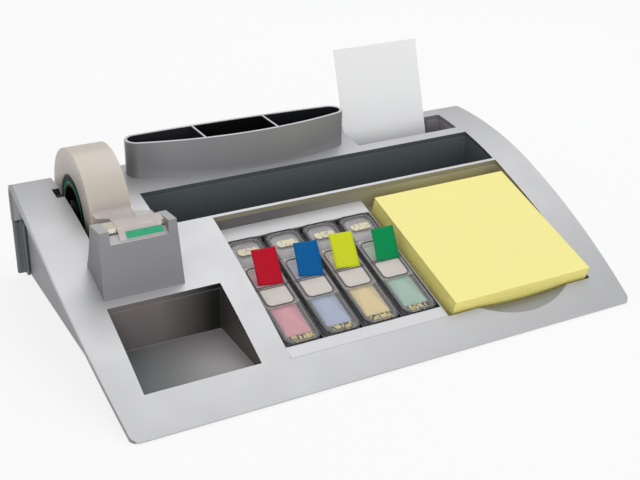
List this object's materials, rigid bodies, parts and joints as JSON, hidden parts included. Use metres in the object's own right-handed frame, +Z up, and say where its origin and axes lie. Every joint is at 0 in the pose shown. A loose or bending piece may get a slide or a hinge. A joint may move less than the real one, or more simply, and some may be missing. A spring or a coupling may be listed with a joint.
{
  "type": "desk organizer with tape dispenser and drawer",
  "caption": "Low curved desk organizer with a tape dispenser, wells for notes, flags, clips and pens, a card pocket, a pen cup and a rear drawer.",
  "frame": {"origin": "centre of the footprint, on the plane that the rubber feet stand on", "axes": "+X to the right along the front edge, +Y from the front edge to the rear drawer, +Z up"},
  "size_m": [0.257, 0.16, 0.0904],
  "materials": {
    "shell": "satin silver, fine texture",
    "base": "satin grey",
    "tray": "satin grey",
    "insert": "smooth pale grey",
    "liner": "dark slate, fine texture",
    "tower": "satin grey, fine texture",
    "blade": "bright, brushed along its length",
    "tape": "translucent film, frosted on the roll",
    "label": "printed green",
    "cup": "satin grey",
    "note_paper": "plain pale yellow sheets",
    "card": "smooth white card",
    "ballast": "plain sheared plate",
    "drawer": "satin slate grey",
    "core": "green moulding",
    "hub": "black moulding",
    "foot": "moulded, dull",
    "screw": "zinc plated",
    "clear_case": "clear moulding",
    "flag_red": "coated film",
    "flag_blue": "coated film",
    "flag_lime": "coated film",
    "flag_green": "coated film"
  },
  "bodies": {
    "organizer": {"top_shell": "shell", "base_housing": "base", "drawer_bay": "base", "clip_tray": "tray", "notes_well": "tray", "flag_tray": "insert", "pen_tray": "liner", "card_pocket": "liner", "tape_cradle": "liner", "tape_tower": "tower", "cutter_blade": "blade", "tape_strip": "tape", "tape_label": "label", "pen_cup": "cup", "note_pad": "note_paper", "business_card": "card", "ballast_weight": "ballast", "rubber_foot_front_left": "foot", "rubber_foot_front_right": "foot", "rubber_foot_rear_left": "foot", "rubber_foot_rear_right": "foot", "case_screw_front_left": "screw", "case_screw_front_right": "screw", "case_screw_rear_left": "screw", "case_screw_rear_right": "screw", "flag_case_red": "clear_case", "flag_case_blue": "clear_case", "flag_case_lime": "clear_case", "flag_case_green": "clear_case", "flag_strip_red": "flag_red", "flag_strip_blue": "flag_blue", "flag_strip_lime": "flag_lime", "flag_strip_green": "flag_green"},
    "drawer": {"drawer_tray": "drawer", "drawer_front": "drawer"},
    "tape_spool": {"tape_roll": "tape", "tape_core": "core", "tape_hub": "hub"}
  },
  "joints": [
    {"name": "drawer_slide", "type": "slide", "parent": "organizer", "child": "drawer", "axis": [0, 1, 0], "range_m": [0, 0.062]},
    {"name": "spool_spin", "type": "hinge", "parent": "organizer", "child": "tape_spool", "pos_m": [-0.093, 0.0507, 0.0413], "axis": [1, 0, 0], "continuous": true}
  ]
}
